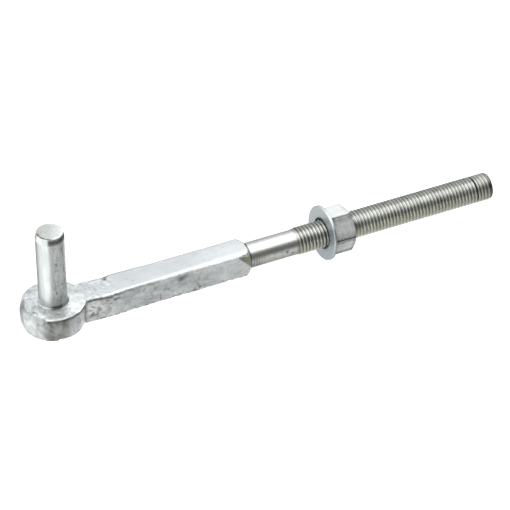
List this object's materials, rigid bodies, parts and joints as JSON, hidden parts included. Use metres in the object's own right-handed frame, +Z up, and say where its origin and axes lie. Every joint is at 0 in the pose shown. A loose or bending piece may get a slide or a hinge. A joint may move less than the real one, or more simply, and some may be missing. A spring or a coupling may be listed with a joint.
{
  "type": "bolt-through gate hook",
  "caption": "Galvanised gate hook: upright hinge pin in a forged eye on a square bar that ends in a threaded bolt with washer and nut.",
  "frame": {"origin": "hinge pin's axis where the pin leaves the flat top of the eye", "axes": "+Z up along the hinge pin, +X along the arm towards the threaded end"},
  "size_m": [0.3456, 0.0435, 0.0849],
  "materials": {
    "galvanised_arm": "hot-dip galvanised forging, mottled and matt",
    "galvanised_pin": "hot-dip galvanised round bar, satin",
    "galvanised_washer": "galvanised pressed steel, satin",
    "galvanised_nut": "galvanised steel, satin"
  },
  "bodies": {
    "hook": {"hook_arm": "galvanised_arm", "hinge_pin": "galvanised_pin"},
    "washer": {"washer": "galvanised_washer"},
    "nut": {"hex_nut": "galvanised_nut"}
  },
  "joints": [
    {"name": "washer_slide", "type": "slide", "parent": "hook", "child": "washer", "axis": [1, 0, 0], "range_m": [-0.0222, 0.1077]},
    {"name": "nut_spin", "type": "hinge", "parent": "washer", "child": "nut", "pos_m": [0.20652, 0, -0.0102], "axis": [1, 0, 0], "range_deg": [-3134, 15261]}
  ],
  "couplings": [
    {"joint": "washer_slide", "follows": "nut_spin", "m_per_rad": 0.00040425}
  ]
}
